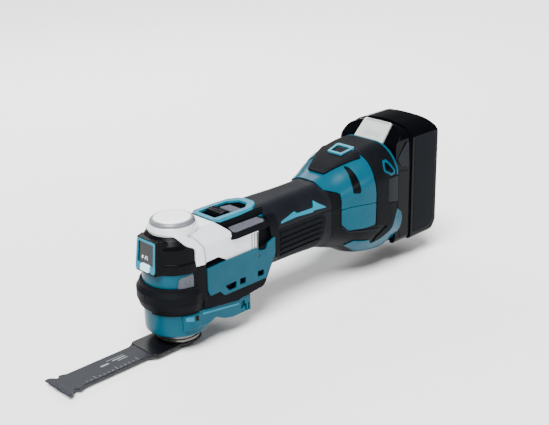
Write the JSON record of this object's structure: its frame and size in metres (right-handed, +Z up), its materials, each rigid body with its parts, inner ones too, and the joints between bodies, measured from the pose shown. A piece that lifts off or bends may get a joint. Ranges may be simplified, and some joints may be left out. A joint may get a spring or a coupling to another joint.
{
  "type": "oscillating multi tool",
  "caption": "Cordless oscillating multi tool with vertical spindle head, tool-less clamp lever, slim grip, speed dial, sliding battery pack and plunge saw blade.",
  "frame": {"origin": "on the spindle axis, in the face of the tool holder that the blade seats against", "axes": "+X runs back from the nose to the battery, +Y to the tool's right-hand side, +Z up along the spindle, away from the blade"},
  "size_m": [0.432, 0.0834, 0.1405],
  "materials": {
    "teal_housing": "satin moulded",
    "black_rubber": "matt, fine grain",
    "black_plastic": "fine moulded texture",
    "light_blue": "satin",
    "knob_black": "knurled, matt",
    "silver_lever": "satin cast",
    "steel": "machined",
    "dark_steel": "black oxide, turned",
    "cast_alloy": "die cast",
    "core_laminations": "stacked sheet",
    "fan_plastic": "matt",
    "lens_clear": "frosted clear",
    "smoked_window": "glossy",
    "pack_black": "satin black",
    "button_grey": "matt",
    "cell_sleeve": "shrink sleeve",
    "blade_black": "black coating",
    "blade_steel": "dark coating with ground teeth"
  },
  "bodies": {
    "tool_body": {"gear_housing": "teal_housing", "bearing_cap": "cast_alloy", "cap_screws": "steel", "upper_bearing": "steel", "lower_bearing": "steel", "dust_seal": "black_rubber", "bumper_ring": "black_rubber", "head_cover": "black_plastic", "cap_ring": "steel", "top_cap": "silver_lever", "lever_bezel": "silver_lever", "lever_bracket": "cast_alloy", "led_housing": "black_plastic", "led_bezel": "light_blue", "led_window": "smoked_window", "led_lens": "lens_clear", "lower_brace": "teal_housing", "front_housing": "black_plastic", "side_panel_left": "teal_housing", "side_panel_right": "teal_housing", "switch_frame": "light_blue", "switch_unit": "black_plastic", "motor_bracket": "cast_alloy", "motor_end_plate": "cast_alloy", "stator": "core_laminations", "motor_bearings": "steel", "vibration_dampers": "black_rubber", "grip_upper": "black_plastic", "grip_lower": "black_plastic", "housing_screws": "steel", "rear_housing_upper": "teal_housing", "rear_housing_lower": "black_plastic", "rear_band": "black_rubber", "rear_plate": "black_plastic", "terminal_block": "black_plastic", "dial_frame": "light_blue", "control_module": "black_plastic"},
    "spindle_assembly": {"spindle": "steel", "tool_holder": "dark_steel", "swing_arm": "steel"},
    "clamp_plunger_assembly": {"clamp_plunger": "steel", "clamp_claws": "steel", "plunger_spring": "steel"},
    "clamp_lever": {"lock_lever": "silver_lever", "lever_pads": "black_rubber", "lever_pin": "steel", "release_cam": "steel"},
    "rotor": {"rotor_shaft": "steel", "rotor_core": "core_laminations", "fan": "fan_plastic", "eccentric_bearing": "steel", "counterweight": "steel"},
    "power_slider": {"switch_knob": "knob_black"},
    "dial": {"speed_dial": "knob_black"},
    "battery_pack": {"battery_cover": "pack_black", "battery_case": "pack_black", "battery_cells": "cell_sleeve"},
    "release_button": {"battery_button": "button_grey"},
    "blade": {"blade_mount": "blade_black", "saw_blade": "blade_steel"}
  },
  "joints": [
    {"name": "spindle_swing", "type": "hinge", "parent": "tool_body", "child": "spindle_assembly", "pos_m": [0, 0, 0], "axis": [0, 0, 1], "range_deg": [-2, 2]},
    {"name": "plunger_release", "type": "slide", "parent": "spindle_assembly", "child": "clamp_plunger_assembly", "axis": [0, 0, -1], "range_m": [0, 0.0025], "deforming": ["plunger_spring"]},
    {"name": "lever_open", "type": "hinge", "parent": "tool_body", "child": "clamp_lever", "pos_m": [0, 0, 0.094], "axis": [0, -1, 0], "range_deg": [0, 100]},
    {"name": "rotor_spin", "type": "hinge", "parent": "tool_body", "child": "rotor", "pos_m": [0, 0, 0.062], "axis": [1, 0, 0], "continuous": true},
    {"name": "power_slide", "type": "slide", "parent": "tool_body", "child": "power_slider", "axis": [-1, 0, 0], "range_m": [0, 0.0055]},
    {"name": "speed_turn", "type": "hinge", "parent": "tool_body", "child": "dial", "pos_m": [0.206, 0, 0.1063], "axis": [0, 1, 0], "range_deg": [0, 150]},
    {"name": "battery_slide", "type": "slide", "parent": "tool_body", "child": "battery_pack", "axis": [0, 0, 1], "range_m": [0, 0.125]},
    {"name": "button_press", "type": "slide", "parent": "battery_pack", "child": "release_button", "axis": [0.638, 0, -0.77], "range_m": [0, 0.003], "stiffness_N_per_m": 2000, "springref_m": -0.002},
    {"name": "blade_removal", "type": "slide", "parent": "spindle_assembly", "child": "blade", "axis": [0, 0, -1], "range_m": [0, 0.015]}
  ],
  "couplings": [
    {"joint": "plunger_release", "follows": "lever_open", "m_per_rad": 0.0014324}
  ]
}
